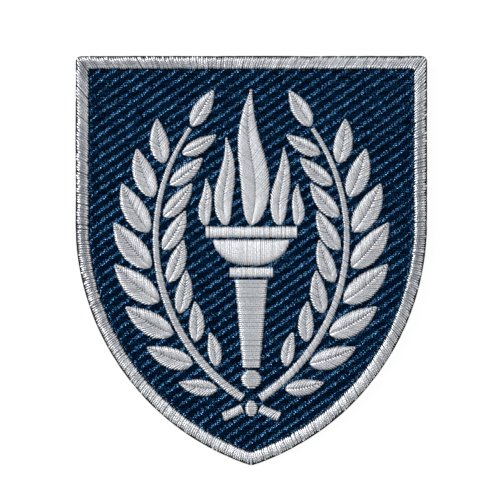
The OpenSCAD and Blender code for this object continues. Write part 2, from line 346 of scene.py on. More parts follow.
def twillMaterial(name):
    # black twill: fine diagonal ribs plus a share of a finer weft, as bump on a matt black with painted
    # shade in the grooves and a painted highlight on the ribs
    t = twillLook
    material, tree, shader = nodeMaterial(name)
    place = addNode(tree, "TexCoord").outputs["Object"]
    inputs = {"Vector": place, "Rotation": (0, 0, t["turn"]), "Scale": [t["scale"]] * 3}
    turned = addNode(tree, "Mapping", inputs).outputs["Vector"]
    rib = addNode(tree, "TexWave", {"Vector": turned, "Scale": t["ribScale"], "Distortion": t["ribWander"]})
    weft = addNode(tree, "TexWave", {"Vector": turned, "Scale": t["weftScale"]}, bands_direction="Y")
    height = calculated(tree, "MULTIPLY_ADD", weft.outputs["Fac"], t["weftShare"], rib.outputs["Fac"])
    addBump(tree, shader, height, t["ribDepth"])
    ramp = addNode(tree, "ValToRGB", {"Fac": height})
    for stop, share in zip(ramp.color_ramp.elements, t["paintedShades"]):
        stop.color = (*[c * share for c in t["colour"]], 1)
    inputs = {"Base Color": ramp.outputs["Color"], "Roughness": t["roughness"]}
    setInputs(tree, shader, {**inputs, "Specular IOR Level": t["gloss"]})
    return material


thread = {name: threadMaterial(name, row) for name, row in threadRows.items()}
blackTwill = twillMaterial("blackTwill")
print("materials made")


# pads of satin stitching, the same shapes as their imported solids: each is a pair of edges
padPoints = 81
endShare = 0.07  # a leaf or flame keeps this share of its width at its ends
roundLeast = 0.3  # and a round pad this share
# in millimetres and degrees, as in all that follows
wreath = {
    "stemRadius": 38.0,
    "stemSideX": 19.0,  # the stem is furthest from the middle line here
    "stemSideY": 4.5,  # and at this height
    "stemWidth": 1.6,
    "stemLength": 63.0,
    "stemTaper": 0.5,
    "stemStart": 2.0,
    "tailLength": 4.2,
    "tailWiden": 2.0,  # how much faster than the stem the tail changes its width
    "leafAngle": 40.0,  # from the stem's own direction
    "leafBend": 18.0,
    "leafGap": 0.95,
    "innerShift": 3.2,
    "innerTurn": 2.0,
    "outerSlim": 0.42,
    "innerSlim": 0.38,
    "leafFullness": (0.6, 0.9),
    "endLeaf": {"length": 8.2, "width": 3.4, "turn": -4.0, "gap": 0.7},
    "tie": (-30.9, 2.3, 3.0),  # foot, width, height
}
# distance along the stem, length of the outer leaf, length of the inner leaf
leafRows = [
    (7.2, 7.6, 6.8),
    (13.9, 9.6, 7.9),
    (20.7, 10.8, 8.5),
    (27.5, 11.4, 8.8),
    (34.3, 11.4, 8.8),
    (41.1, 10.9, 8.6),
    (47.9, 10.0, 8.2),
    (54.7, 8.8, 7.6),
]
torch = {
    "footY": -25.4,
    "gap": 0.5,
    # width and height, and for the grip the width at its foot, the width at its top and the height
    "knob": (3.8, 3.6),
    "grip": (3.4, 6.4, 17.5),
    "collar": (8.6, 1.9),
    "bowl": (14.8, 5.0),
    "bowlLip": 0.5,
    "bowlSquare": 2.6,
    "bowlRound": 0.62,
    "rim": (18.2, 2.1),
    "flameFullness": (0.52, 1.03),
    "swayFade": 0.35,
}
# foot, height, greatest width, lean, sway
flameRows = [
    (-8.95, 9.2, 2.5, -0.1, -0.35),
    (-5.00, 17.4, 3.6, 0.0, -0.65),
    (0.00, 27.0, 5.6, 0.0, 0.90),
    (5.65, 15.4, 3.4, 0.8, -0.45),
    (9.10, 8.2, 2.4, 0.2, 0.30),
]


def fullness(u, p, q):
    # share of the greatest width: u to the power p times 1 - u to the power q, scaled to peak at 1
    k = p / (p + q)
    return np.maximum(endShare, u**p * (1 - u) ** q / (k**p * (1 - k) ** q))


def ribbonEdges(line, halves):
    # edges at a half width to either side of a line, square to it
    way = np.gradient(line, axis=0)
    way /= np.linalg.norm(way, axis=1, keepdims=True)
    out = np.stack([-way[:, 1], way[:, 0]], axis=1) * np.asarray(halves)[:, None]
    return line + out, line - out


def stemAt(s):
    # point and angle on the right stem's arc at distance s from the middle line
    w = wreath
    footAngle = -np.arccos((w["stemRadius"] - w["stemSideX"]) / w["stemRadius"])
    angle = footAngle + np.asarray(s, float) / w["stemRadius"]
    centre = np.array([w["stemSideX"] - w["stemRadius"], w["stemSideY"]])
    return centre + w["stemRadius"] * np.stack([np.cos(angle), np.sin(angle)], axis=-1), angle


def stemHalf(s):
    # half the stem's width, less in proportion to the distance along it
    return wreath["stemWidth"] / 2 * (1 - wreath["stemTaper"] * s / wreath["stemLength"])


def leafEdges(row, outer):
    # a line that starts beside the stem and bends evenly, with a leaf's fullness along it
    w = wreath
    sign = 1 if outer else -1
    at = row[0] + (0 if outer else w["innerShift"])
    length = row[1] if outer else row[2]
    slim = w["outerSlim"] if outer else w["innerSlim"]
    turn = np.radians(w["leafAngle"] + (0 if outer else w["innerTurn"]))
    point, angle = stemAt(at)
    base = point + sign * (stemHalf(at) + w["leafGap"]) * np.array([np.cos(angle), np.sin(angle)])
    heading = angle + np.pi / 2 - sign * turn
    bend = sign * np.radians(w["leafBend"])
    u = np.linspace(0, 1, padPoints)
    a = heading + bend * u
    arc = np.stack([np.sin(a) - np.sin(heading), np.cos(heading) - np.cos(a)], axis=1)
    return ribbonEdges(base + length / bend * arc, length * slim / 2 * fullness(u, *w["leafFullness"]))


def endLeafEdges():
    # a straight line on from the stem's end, with a leaf's fullness along it
    w = wreath
    leaf = w["endLeaf"]
    point = stemAt(w["stemLength"] + leaf["gap"])[0]
    heading = stemAt(w["stemLength"])[1] + np.pi / 2 + np.radians(leaf["turn"])
    u = np.linspace(0, 1, padPoints)
    line = point + leaf["length"] * u[:, None] * np.array([np.cos(heading), np.sin(heading)])
    return ribbonEdges(line, leaf["width"] / 2 * fullness(u, *w["leafFullness"]))


def stemEdges(fromS, toS, widen=1.0):
    # a stretch of the stem's arc at the stem's half width
    s = np.linspace(fromS, toS, padPoints)
    return ribbonEdges(stemAt(s)[0], stemHalf(widen * s))


def roundEdges(y, width, height):
    # an upright ellipse that stands on y: half width = width / 2 * sqrt(1 - (2u - 1) squared)
    u = np.linspace(0, 1, padPoints)
    half = width / 2 * np.maximum(roundLeast, np.sqrt(np.maximum(0, 1 - (2 * u - 1) ** 2)))
    return ribbonEdges(np.stack([0 * u, y + height * u], axis=1), half)


def gripEdges(y, low, high, height):
    # an upright line whose width grows evenly from its foot to its top
    u = np.linspace(0, 1, padPoints)
    return ribbonEdges(np.stack([0 * u, y + height * u], axis=1), (low + (high - low) * u) / 2)


def barEdges(y, width, height):
    # a level bar: its upper and its lower edge, from left to right
    x = np.linspace(-width / 2, width / 2, padPoints)
    return np.stack([x, 0 * x + y + height], axis=1), np.stack([x, 0 * x + y], axis=1)


def bowlEdges(y, width, height):
    # a level upper edge over an underside at y + deep * (1 - (1 - |k| to one power) to another)
    t = torch
    k = np.linspace(-1, 1, padPoints)
    low = 1 - (1 - np.abs(k) ** t["bowlSquare"]) ** t["bowlRound"]
    low = y + (height - t["bowlLip"]) * low
    return np.stack([k * width / 2, 0 * k + y + height], axis=1), np.stack([k * width / 2, low], axis=1)


def flameEdges(row, y):
    # a rising line that leans by lean * u and sways by sway * sin(2 pi u), with a flame's fullness
    foot, height, width, lean, sway = row
    u = np.linspace(0, 1, padPoints)
    x = foot + lean * u + sway * np.sin(2 * np.pi * u) * (1 - torch["swayFade"] * u)
    half = width / 2 * fullness(u, *torch["flameFullness"])
    return ribbonEdges(np.stack([x, y + height * u], axis=1), half)


def mirroredEdges(edges):
    # both edges on the other side of the middle line, in the other order
    return edges[1] * (-1, 1), edges[0] * (-1, 1)


def allPads():
    # every pad of the emblem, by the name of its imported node: its two edges and whether it has a vein
    pads = {}
    w = wreath
    t = torch
    start = w["stemStart"]
    for side in ("left", "right"):
        placed = mirroredEdges if side == "left" else (lambda edges: edges)
        pads["stem_" + side] = (*placed(stemEdges(start, w["stemLength"])), False)
        pads["tail_" + side] = (*placed(stemEdges(-start - w["tailLength"], -start, w["tailWiden"])), False)
        for i, row in enumerate(leafRows):
            pads[f"leaf_{side}_outer_{i + 1}"] = (*placed(leafEdges(row, True)), True)
            pads[f"leaf_{side}_inner_{i + 1}"] = (*placed(leafEdges(row, False)), True)
        pads[f"leaf_{side}_end"] = (*placed(endLeafEdges()), True)
    pads["stem_tie"] = (*roundEdges(*w["tie"]), False)
    y = t["footY"]
    kinds = {"knob": roundEdges, "grip": gripEdges, "collar": barEdges, "bowl": bowlEdges, "rim": barEdges}
    for name, edges in kinds.items():
        pads["torch_" + name] = (*edges(y, *t[name]), False)
        y += t[name][-1] + t["gap"]
    for i, row in enumerate(flameRows):
        pads[f"flame_{i + 1}"] = (*flameEdges(row, y), True)
    return pads


satin = {
    "pitch": 0.39,  # square to the stitches
    "width": 0.40,
    "thick": 0.23,
    "roll": 0.12,
    "rollLength": 1.7,
    # points of a stitch, in half widths of the pad from its middle, and what share of its height each
    # one loses: of a stitch from the vein out, and of one from edge to edge
    "barb": ((0.0, 0.10, 0.28, 0.52, 0.78, 0.94, 1.02), (0.7, 0.15, 0, 0, 0, 0, 0.3)),
    "cross": ((-1.02, -0.94, -0.78, -0.45, 0.0, 0.45, 0.78, 0.94, 1.02), (0.3, 0, 0, 0, 0, 0, 0, 0, 0.3)),
    "toneSpread": 0.08,
    "tone": 0.22,  # lighter than a middling thread by this
    "torchPaintedLight": 0.12,  # and the torch and its flames by this again: painted light, the emblem's upper part lighter as if lit more strongly from above
    # a painted highlight: a stitch's ends are lighter by this, where it turns down into the cloth
    "endHighlight": 0.6,
    "endSize": 0.55,
    "endReach": 0.2,  # the last share of the half width, over which a stitch narrows and gets lighter: a painted highlight where it turns down
    "fullWidth": 3.0,  # a pad as wide as this is at its full height
    "level": 0.4,  # the share of the pad's half width over which it is level
    "edgeFall": 0.35,
    "edgePower": 2.2,
    "veinWidth": 1.4,  # the vein gets shallower where half the pad is narrower than this
    "veinDepth": 0.2,
    "veinReach": 0.5,  # share of the half width
    "veinLoss": 0.35,  # how much of a point's loss counts in the pad's inner half
    "barbLean": 1.0,  # how far a stitch leans to the tip, for each millimetre that it runs outwards
    "stemLean": 0.5,
    "leanReach": 1.2,  # a leaning stitch turns square within this of the pad's end
    "sideJitter": 0.03,
    "endJitter": 0.05,
    "jitterFrom": 0.9,  # only points further out than this stray with the end
    "jitterWidth": 0.6,  # and on a pad with a smaller half width they stray as on one this wide
    "heightJitter": 0.012,
    "shortest": 0.12,
}


def padHeight(across, rise, veined):
    # height on a pad: level in the middle, less edgeFall * w to a power over its outer part, where w
    # goes from 0 to 1 at the edge, and less a groove down a vein, whose depth is a square
    s = satin
    a = np.abs(across)
    crown = 1 - s["edgeFall"] * np.clip((a - s["level"]) / (1 - s["level"]), 0, 1) ** s["edgePower"]
    groove = s["veinDepth"] / padRise * np.clip(1 - a / s["veinReach"], 0, 1) ** 2 if veined else 0
    return rise * (crown - groove)


def along(line, places, wanted):
    # points of a line at the wanted places, between its own points at the places given
    return np.stack([np.interp(wanted, places, line[:, i]) for i in (0, 1)], axis=-1)


def padStitches(left, right, veined, lean=0.0, lighter=0.0):
    # satin stitches over a pad: from edge to edge, or from the vein out to each edge like a feather's
    # barbs; a point of a stitch lies at middle + across * half width, at a share of the pad's run that
    # grows with across by the stitch's lean
    s = satin
    middle = (left + right) / 2
    wide = np.linalg.norm(left - right, axis=1)
    run = np.concatenate([[0], np.cumsum(np.linalg.norm(np.diff(middle, axis=0), axis=1))])
    u = np.linspace(0, 1, len(run))
    # where a veined pad narrows, the foot of each barb is further from the next one's than the end is
    narrowing = np.maximum(0, -s["barbLean"] * np.diff(wide / 2) / np.diff(run)) if veined else 0
    slope = (1 + (s["barbLean"] if veined else lean) ** 2) ** -0.5
    spaced = np.concatenate([[0], np.cumsum(np.diff(run) * slope * (1 + narrowing))])
    q, loss = np.array(s["barb" if veined else "cross"])[:, None, :]
    end = np.clip((np.abs(q) - (1 - s["endReach"])) / s["endReach"], 0, 1)
    lots = []
    for sign in ((1, -1) if veined else (1,)):
        count = max(3, int(round(spaced[-1] / s["pitch"])))
        at = np.interp((np.arange(count) + 0.5) / count * spaced[-1], spaced, u)
        at = at + rng.normal(0, s["sideJitter"], count) / run[-1]
        halfHere = np.interp(at, u, wide) / 2
        if veined:
            start = at - s["barbLean"] * halfHere / run[-1]
            share = np.clip(start[:, None] + (at - start)[:, None] * q, 0, 1)
        else:
            here = lean * np.minimum(1, np.minimum(at, 1 - at) * run[-1] / s["leanReach"])
            share = np.clip(at[:, None] + (here * halfHere)[:, None] / run[-1] * q, 0, 1)
        across = sign * q + 0 * share
        stray = rng.normal(0, s["endJitter"], (count, 1)) / np.maximum(halfHere, s["jitterWidth"])[:, None]
        across = across * np.where(np.abs(across) > s["jitterFrom"], 1 + stray, 1)
        a, b = along(left, u, share), along(right, u, share)
        flat = (a + b) / 2 + (a - b) / 2 * across[..., None]
        rise = padRise * np.sqrt(np.minimum(1, np.interp(share, u, wide) / s["fullWidth"]))
        counts = s["veinLoss"] * np.minimum(1, halfHere[:, None] / s["veinWidth"])
        counts = np.where(np.abs(across) > s["veinReach"], 1, counts)
        z = padHeight(np.clip(across, -1, 1), rise, veined) * (1 - loss * counts)
        z = fillTop + z + rng.normal(0, s["heightJitter"], (count, 1))
        paths = np.concatenate([flat, z[..., None]], axis=2)
        enough = np.linalg.norm(paths[:, -1, :2] - paths[:, 0, :2], axis=1) > s["shortest"]
        # the ends get a painted highlight, lighter where the stitch turns down
        tone = stitchTones(enough.sum(), s["toneSpread"]) + s["tone"] + lighter + s["endHighlight"] * end
        lots.append(threads(paths[enough], s, tone, 1 - (1 - s["endSize"]) * end))
    return joined(lots)


pads = allPads()
groups = {
    "wreathSatinLeft": [n for n in pads if n.startswith("leaf_left")],
    "wreathSatinRight": [n for n in pads if n.startswith("leaf_right")],
    "stemSatin": [n for n in pads if n.startswith(("stem_left", "stem_right", "tail"))],
    "torchSatin": [n for n in pads if n.startswith("torch")] + ["stem_tie"],
    "flameSatin": [n for n in pads if n.startswith("flame")],
}
for name, members in groups.items():
    lean = satin["stemLean"] if name == "stemSatin" else 0.0
    # the torch and its flames get painted light, lighter as the emblem's upper part
    lighter = satin["torchPaintedLight"] if name in ("torchSatin", "flameSatin") else 0.0
    points, quads, uvs, tone = joined([padStitches(*pads[n], lean, lighter) for n in members])
    addMesh(name, points, quads, thread["paleThread"], uvs, tone)


border = {
    "pitch": (0.435, 0.515, 0.44),  # along the border's middle: on the flanks, the sides and the top
    "widthShare": (1.04, 1.16, 1.08),  # a thread's width there, in shares of its room
    "leastRoom": 0.40,  # square to the stitches
    "slantGap": 0.2,  # a slanted thread is narrower by this times its slant's sine squared
    "slantTone": 0.32,  # and lighter by this times the same
    "width": 0.42,  # a thread of this width is as thick as the next row says, others in proportion
    "thick": 0.34,
    "roll": 0.10,  # how far a thread rolls to and fro, in radians
    "rollLength": 1.9,
    # points of a stitch, as shares of its length from the outer end
    "places": (0.0, 0.04, 0.12, 0.25, 0.38, 0.5, 0.62, 0.75, 0.88, 0.96, 1.0),
    # four numbers are for the tip, the flanks, the sides and the top: how much of a stitch's way
    # inwards is up the patch, the crest's place as a share of the stitch from its outer end, and how
    # much lower than the crest the two edges are
    "upwards": (1.0, 0.6, 0.0, -1.0),
    "crest": (0.16, 0.5, 0.5, 0.4),
    "outerDrop": (0.28, 0.18, 0.17, 0.10),
    "innerDrop": (0.34, 0.20, 0.22, 0.18),
    # the powers of those two falling curves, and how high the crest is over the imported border
    "outerPower": (1.3, 1.5, 2.0, 2.0),
    "innerPower": (1.3, 2.0, 2.0, 1.7),
    "rise": (0.11, 0.05, 0.0, 0.04),
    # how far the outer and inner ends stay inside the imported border
    "outside": (0.24, 0.22, 0.30, 0.18),
    "inside": (0.09, 0.06, 0.06, 0.04),
    # how much lighter the stitches are (painted light and shade for how the light falls on each part), how
    # much lighter their outer ends and their inner ends are (painted highlights), and their spread
    "lighter": (0.16, 0.05, -0.06, -0.24),
    "outHighlight": (0.5, 1.1, 0.2, 1.4),
    "inHighlight": (0.8, 0.15, 0.8, 0.8),
    "toneSpread": (0.12, 0.12, 0.10, 0.15),
    "outReach": 0.3,  # share of the stitch over which each end is lighter, a painted highlight
    "inReach": 0.35,
    "outSize": 0.44,  # share of the thread's size that each end keeps
    "inSize": 0.6,
    "outNarrow": 0.14,  # share of the stitch over which each end narrows
    "inNarrow": 0.13,
    "outJitter": 0.14,
    "inJitter": 0.06,
    "endDrift": 0.05,
    "driftReach": 2,  # stitches
    "sideJitter": 0.065,  # share of the pitch
    "heightJitter": 0.018,
    "footInset": 0.37,  # a stitch goes down into the cloth here, from the cloth's edge
    "footSize": 0.56,
    "knee": 0.4,  # a point this far up from that foot to the stitch's end
    "fieldFoot": 0.05,  # and into the field this far beyond its inner end
    "sideSlant": (52.0, 30.0),  # how far the stitches at the top of the left and right side rise outwards
    "sideFade": (24.0, 28.0),  # how far down the side they turn level
    "cornerSlant": 56.0,  # the rise at the corners themselves
    "cornerFade": 7.0,
    "topLean": 34.0,  # how far the stitches along the top lean out towards each end
    "topStill": -7.0,  # they stand straight at this place
    "topReach": 24.0,
    "flankLean": (10.0, 25.0),  # how far the inner ends turn up, at most, on the left and right flank
    "leanMiddle": 32.0,  # most at this distance along the border from the tip
    "leanReach": 25.0,
    "endSkew": 0.03,  # how far each end strays along the border, so that neighbours cross
}


def alongLoop(loop, run, distance):
    # points of a closed loop at distances along the border's middle, which it matches point by point
    return along(np.concatenate([loop, loop[:1]]), run, distance % run[-1])


def partOfBorder(y, away):
    # 0 on the flanks, 1 on the sides, 2 along the top
    return np.where(y < flankTop, 0, np.where(away < 0, 1, 2))


def slants(points, away):
    # how far a stitch turns from square across towards its own top corner, in radians: along the top by
    # a sine of its place, and down the sides eased out by exp(-(distance from the corner / fade) squared)
    b = border
    half = np.where(points[:, 0] < 0, -1, 1)
    place = np.clip((points[:, 0] - b["topStill"]) / b["topReach"], -1, 1)
    over = b["topLean"] * half * np.sin(np.pi / 2 * place)
    most, fade = (np.where(half < 0, *b[name]) for name in ("sideSlant", "sideFade"))
    down = most * np.exp(-((away / fade) ** 2))
    down = down + (b["cornerSlant"] - most) * np.exp(-((away / b["cornerFade"]) ** 2))
    return np.radians(np.where(away > 0, over, down))


def leans(fromTip, right):
    # how far a flank stitch's inner end turns up, in radians: a cosine hump along the flank
    b = border
    most = np.radians(np.where(right, b["flankLean"][1], b["flankLean"][0]))
    return most * np.cos(np.pi / 2 * np.clip((fromTip - b["leanMiddle"]) / b["leanReach"], -1, 1))


def slantedEnds(middle, outer, inner, away):
    # beside a top corner: a stitch starts where the slanted line through its middle leaves the outer
    # edges and ends where it meets the later of the two inner edges
    turned = slants(middle, away)
    angle = np.where(away > 0, np.pi / 2 - turned, turned)
    way = np.stack([np.cos(angle), np.sin(angle)], axis=1)
    way = np.where(np.abs(way) < tiny, tiny, way)
    way = way * np.stack([np.where(middle[:, 0] < 0, -1, 1), np.ones(len(middle))], axis=1)
    x, y = np.abs(middle[:, 0]), middle[:, 1]
    across = np.abs(way[:, 0])
    out = np.minimum((np.abs(outer[:, 0]).max() - x) / across, (outer[:, 1].max() - y) / way[:, 1])
    back = np.maximum((x - np.abs(inner[:, 0]).max()) / across, (y - inner[:, 1].max()) / way[:, 1])
    return middle + way * out[:, None], middle - way * back[:, None]


def borderLines():
    # the stitches seen from above: their outer and inner ends, how far each is turned from square, and
    # the room that it has; they stand a pitch apart along the middle between the outer and inner loop
    b = border
    outer, inner = outline(borderInset), outline(innerInset)
    middle = (outer + inner) / 2
    step = np.linalg.norm(np.roll(middle, -1, axis=0) - middle, axis=1)
    run = np.concatenate([[0], np.cumsum(step)])
    corner = run[np.argmax(middle[:, 0] + middle[:, 1])]
    halfway = (run[1:] + run[:-1]) / 2
    fromTip = np.minimum(halfway, run[-1] - halfway)
    turned = slants(middle, fromTip - corner) - leans(fromTip, halfway < run[-1] / 2)
    pitch = np.array(b["pitch"])[partOfBorder(middle[:, 1], fromTip - corner)]
    pitch = np.maximum(pitch, b["leastRoom"] / np.cos(turned))
    spaced = np.concatenate([[0], np.cumsum(step / pitch)])
    count = int(round(spaced[-1]))
    at = np.arange(count) / count * spaced[-1] + rng.normal(0, b["sideJitter"], count)
    where = np.interp(at % spaced[-1], spaced, run)
    right = where < run[-1] / 2
    fromTip = np.minimum(where, run[-1] - where)
    away = fromTip - corner
    centre = alongLoop(middle, run, where)
    turned = slants(centre, away) - leans(fromTip, right)
    part = partOfBorder(centre[:, 1], away)
    room = np.maximum(np.array(b["pitch"])[part] * np.cos(turned), b["leastRoom"])
    room = room * np.array(b["widthShare"])[part] * (1 - b["slantGap"] * np.sin(turned) ** 2)
    shift = (innerInset - borderInset) * np.tan(turned) * np.where(right, 0.5, -0.5)
    a = alongLoop(outer, run, where + shift)
    c = alongLoop(inner, run, where - shift)
    upper = centre[:, 1] > flankTop
    a[upper], c[upper] = slantedEnds(centre[upper], outer, inner, away[upper])
    sideways = (a - c)[:, ::-1] * (-1, 1) / np.linalg.norm(a - c, axis=1)[:, None]
    a = a + sideways * rng.normal(0, b["endSkew"], (count, 1))
    c = c + sideways * rng.normal(0, b["endSkew"], (count, 1))
    return a, c, turned[:, None], room[:, None]


def eased(names, upwards):
    # settings of the border that change round the shield, by how much of each stitch's way is upwards
    return [np.interp(upwards, border["upwards"][::-1], border[name][::-1]) for name in names]


def atHeight(flat, height):
    # one point for each stitch, from its place seen from above and a height
    return np.insert(flat, 2, height, axis=1)[:, None, :]


def borderStitches():
    # satin over the border: height is the top less drop * w to a power, where w is 0 at the crest and 1
    # at both edges, and towards the shield's tip the crest moves outwards
    b = border
    a, c, turned, room = borderLines()
    count = len(a)
    q = np.array(b["places"])[None, :]
    length = np.linalg.norm(a - c, axis=1)[:, None]
    way = (c - a) / length
    upwards = way[:, 1:]
    crest, outerDrop, innerDrop = eased(("crest", "outerDrop", "innerDrop"), upwards)
    outerPower, innerPower, rise = eased(("outerPower", "innerPower", "rise"), upwards)
    outside, inside = eased(("outside", "inside"), upwards)
    lighter, outHighlight, inHighlight, toneSpread = eased(("lighter", "outHighlight", "inHighlight", "toneSpread"), upwards)
    first = outside + rng.normal(0, b["outJitter"], (count, 1))
    first = first + drifting(count, b["endDrift"], b["driftReach"])[:, None]
    last = inside + rng.normal(0, b["inJitter"], (count, 1))
    share = first / length + (1 - (first + last) / length) * q
    flat = a[:, None, :] + (c - a)[:, None, :] * share[..., None]
    w = np.where(q < crest, (crest - q) / crest, (q - crest) / (1 - crest))
    z = borderTop + rise - np.where(q < crest, outerDrop * w**outerPower, innerDrop * w**innerPower)
    z = z + rng.normal(0, b["heightJitter"], (count, 1))
    stitch = np.concatenate([flat, z[..., None]], axis=2)
    # the feet: from each end down to the cloth outside, and to the field inside
    clothFoot = atHeight(a + way * (b["footInset"] - borderInset), clothTop)
    knee = (1 - b["knee"]) * clothFoot + b["knee"] * stitch[:, :1]
    fieldFoot = atHeight(flat[:, -1] + way * b["fieldFoot"], fillTop)
    paths = np.concatenate([clothFoot, knee, stitch, fieldFoot], axis=1)
    feet = ((0, 0), (2, 1))
    # painted highlights: the ends lighter where a stitch turns down
    lit = outHighlight * np.clip(1 - q / b["outReach"], 0, 1)
    lit = lit + inHighlight * np.clip(1 - (1 - q) / b["inReach"], 0, 1)
    # painted light and shade: each part of the border lighter or darker for how the light falls on it
    tone = stitchTones(count, toneSpread) + lighter + b["slantTone"] * np.sin(turned) ** 2
    size = 1 - (1 - b["outSize"]) * np.clip(1 - q / b["outNarrow"], 0, 1)
    size = size - (1 - b["inSize"]) * np.clip(1 - (1 - q) / b["inNarrow"], 0, 1)
    size = np.pad(size * room / b["width"], feet, constant_values=b["footSize"])
    return threads(paths, b, tone + np.pad(lit, feet), size)


points, quads, uvs, tone = borderStitches()
addMesh("borderSatin", points, quads, thread["silverThread"], uvs, tone)


# the core under those stitches, darker than their thread: painted shade in the gaps between them
core = {
    "section": (  # distance from the cloth's edge, height on the cloth
        (0.54, 0.0),
        (0.54, 0.75),
        (0.75, 1.02),
        (1.42, 1.2),
        (2.15, 1.0),
        (2.42, 0.7),
        (2.42, 0.0),
    ),
    "stations": (8, 60, 12, 6, 40),
}


def borderCore():
    # the section carried round the shield, closed round its underside
    rings = [
        np.insert(outline(inset, core["stations"]), 2, clothTop + rise, axis=1)
        for inset, rise in core["section"]
    ]
    at = np.arange(len(rings) * len(rings[0])).reshape(len(rings), -1)
    beside, above = np.roll(at, -1, axis=1), np.roll(at, -1, axis=0)
    quads = np.stack([at, beside, np.roll(beside, -1, axis=0), above], axis=2).reshape(-1, 4)
    return np.concatenate(rings), quads


points, quads = borderCore()
corePiece = addMesh("borderCore", points, quads, thread["borderUnderlayShade"], smooth=False)
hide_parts("satin_border")


fill = {
    "pitch": 0.34,  # from row to row
    "stitch": 3.09,
    "columns": 30,  # stitches to either side of the middle, at most
    "slant": 35.0,  # of the lines of needle holes
    "width": 0.37,
    "thick": 0.20,
    "roll": 0.22,
    "rollLength": 0.9,
    "places": (0, 0.04, 0.09, 0.145, 0.21, 0.79, 0.855, 0.91, 0.96, 1.0),  # a stitch's points
    "lift": 0.10,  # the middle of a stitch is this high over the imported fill
    "sunk": 0.03,
    "dip": 0.16,  # how far a stitch's ends go down
    "dipReach": 0.205,  # over this share of the stitch
    "dipPower": 1.5,
    "dipJitter": 0.35,
    "dipRange": (0.2, 1.8),
    "endJitter": 0.11,
    "heightJitter": 0.012,
    "bow": 0.015,
    "least": 0.35,
    "edge": -0.2,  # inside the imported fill's edge
    "hide": 0.3,  # a stitch further under the pads than this is left out
    "start": 0.9,
    "tone": 0.10,
    "toneSpread": 0.04,
    "stripeHighlight": 0.65,  # a painted highlight, lighter towards a stitch's ends where it dips, by this, and how much that differs between
    "stripeSpread": 0.35,  # the points of a stitch
    "endSpread": 0.10,  # and between its two ends
    "stripeMost": 1.3,
    "stripeRise": 2.6,
    "tipPaintedLight": 0.2,  # how much lighter the stripes are at the tip than in the middle of the shield: painted light, for the way the light falls there
    "edgeTone": 0.12,  # lighter beside the border by this
    "edgeReach": 0.9,
    "pieces": 4,
}


def insidePolygon(points, polygon):
    # counts, for each point, how often a level ray to its right crosses the polygon's sides
    x, y = points[:, 0][:, None], points[:, 1][:, None]
    x1, y1 = polygon[:, 0][None, :], polygon[:, 1][None, :]
    x2, y2 = np.roll(x1, -1, axis=1), np.roll(y1, -1, axis=1)
    spans = (y1 > y) != (y2 > y)
    rise = np.where(y2 == y1, tiny, y2 - y1)
    return (np.sum(spans & (x < (x2 - x1) * (y - y1) / rise + x1), axis=1) % 2).astype(bool)


def underPads(points):
    # points that lie under a pad, well inside its edges
    hidden = np.zeros(len(points), bool)
    for left, right, _ in pads.values():
        middle = (left + right) / 2
        half = np.linalg.norm(left - right, axis=1)[:, None] / 2
        keep = np.clip(1 - fill["hide"] / np.maximum(half, tiny), 0, 1)
        shape = np.concatenate([middle + (left - middle) * keep, (middle + (right - middle) * keep)[::-1]])
        near = np.all((points > shape.min(axis=0)) & (points < shape.max(axis=0)), axis=1)
        found = np.flatnonzero(near)
        if len(found):
            hidden[found[insidePolygon(points[found], shape)]] = True
    return hidden


def fillRows(u):
    # the stitches seen from above: level rows over the field, each row shifted by the same step, so that
    # the needle holes line up in slanting stripes, without those that lie under the pads
    f = fill
    loop = outline(fieldInset + f["edge"])
    right = loop[: len(loop) // 2 + 1]
    rows = np.arange(loop[:, 1].min() + f["pitch"], loop[:, 1].max() - f["pitch"] / 2, f["pitch"])
    flank = right[right[:, 1] <= flankTop]
    reach = np.interp(rows, flank[:, 1], flank[:, 0])[:, None]
    shift = f["pitch"] / np.tan(np.radians(f["slant"]))
    starts = (f["start"] + np.arange(len(rows)) * shift) % f["stitch"]
    a = starts[:, None] + np.arange(-f["columns"], f["columns"] + 1)[None, :] * f["stitch"]
    b = a + f["stitch"]
    a, b = np.maximum(a, -reach), np.minimum(b, reach)
    row, column = np.nonzero(b - a > f["least"])
    a, b, y = a[row, column], b[row, column], rows[row]
    x = a[:, None] + (b - a)[:, None] * u
    probe = np.stack(np.broadcast_arrays(x, y[:, None]), axis=2)
    hidden = underPads(probe.reshape(-1, 2)).reshape(x.shape).all(axis=1)
    return a[~hidden], b[~hidden], y[~hidden], right


